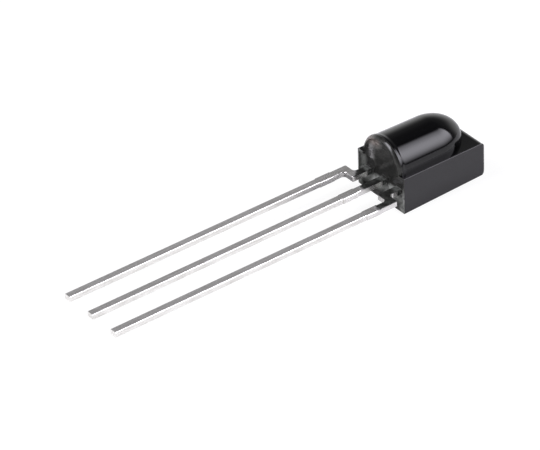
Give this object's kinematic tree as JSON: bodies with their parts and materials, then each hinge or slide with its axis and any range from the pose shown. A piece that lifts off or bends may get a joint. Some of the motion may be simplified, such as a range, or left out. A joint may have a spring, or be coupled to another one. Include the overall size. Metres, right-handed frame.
{
  "type": "infrared receiver module",
  "caption": "Infrared receiver module: black epoxy case with a domed half-round lens on its front and long straight tinned leads, the outer ones jogged out to the board grid.",
  "frame": {"origin": "centre of the middle lead's section where that lead leaves the case's open end", "axes": "+X towards the supply lead, +Y up through the case away from the leads, +Z out of the lens's side"},
  "size_m": [0.0058, 0.0312, 0.0048],
  "materials": {
    "resin": "gloss",
    "tin": "satin",
    "silicon": "polished",
    "silver_adhesive": "matt",
    "gold": "polished"
  },
  "bodies": {
    "root": {"case": "resin", "lead_output": "tin", "lead_ground": "tin", "lead_supply": "tin", "photodiode_glue": "silver_adhesive", "photodiode_chip": "silicon", "amplifier_glue": "silver_adhesive", "amplifier_chip": "silicon", "wire_signal": "gold", "wire_ground": "gold", "wire_output": "gold", "wire_supply": "gold"}
  },
  "joints": []
}
